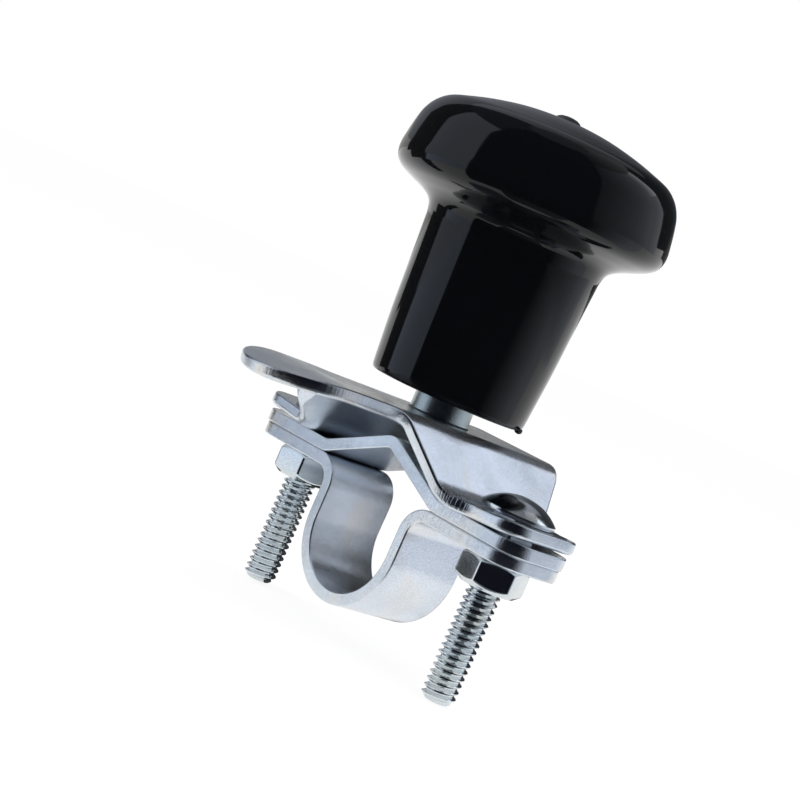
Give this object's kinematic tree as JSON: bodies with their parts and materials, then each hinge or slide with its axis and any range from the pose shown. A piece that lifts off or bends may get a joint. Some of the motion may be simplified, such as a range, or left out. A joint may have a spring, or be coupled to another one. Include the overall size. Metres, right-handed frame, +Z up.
{
  "type": "steering wheel spinner knob",
  "caption": "Mushroom knob that spins on a steel post, carried by a pressed bracket with a finger tab and a bolted U-strap clamp for a steering wheel rim.",
  "frame": {"origin": "centre of the steering wheel rim in the U of the strap", "axes": "+Z up along the knob's axis, +Y along the rim away from the finger tab, +X towards the right bolt"},
  "size_m": [0.0756, 0.0709, 0.1035],
  "materials": {
    "knob_moulding": "glossy black moulding",
    "bush_bronze": "sintered bronze",
    "washer_steel": "plain steel",
    "ring_steel": "blackened spring steel",
    "spindle_zinc": "bright zinc plate",
    "carrier_zinc": "bright zinc plate",
    "saddle_zinc": "blue zinc plate",
    "strap_zinc": "blue zinc plate",
    "bolt_zinc": "zinc plate",
    "nut_zinc": "zinc plate"
  },
  "bodies": {
    "clamp": {"spindle": "spindle_zinc", "thrust_washer": "washer_steel", "upper_washer": "washer_steel", "retaining_ring": "ring_steel", "carrier": "carrier_zinc", "saddle": "saddle_zinc", "strap": "strap_zinc", "bolt_left": "bolt_zinc", "bolt_right": "bolt_zinc", "nut_left": "nut_zinc", "nut_right": "nut_zinc"},
    "knob": {"knob": "knob_moulding", "bush": "bush_bronze"}
  },
  "joints": [
    {"name": "knob_spin", "type": "hinge", "parent": "clamp", "child": "knob", "pos_m": [0, 0, 0.05], "axis": [0, 0, 1], "continuous": true}
  ]
}
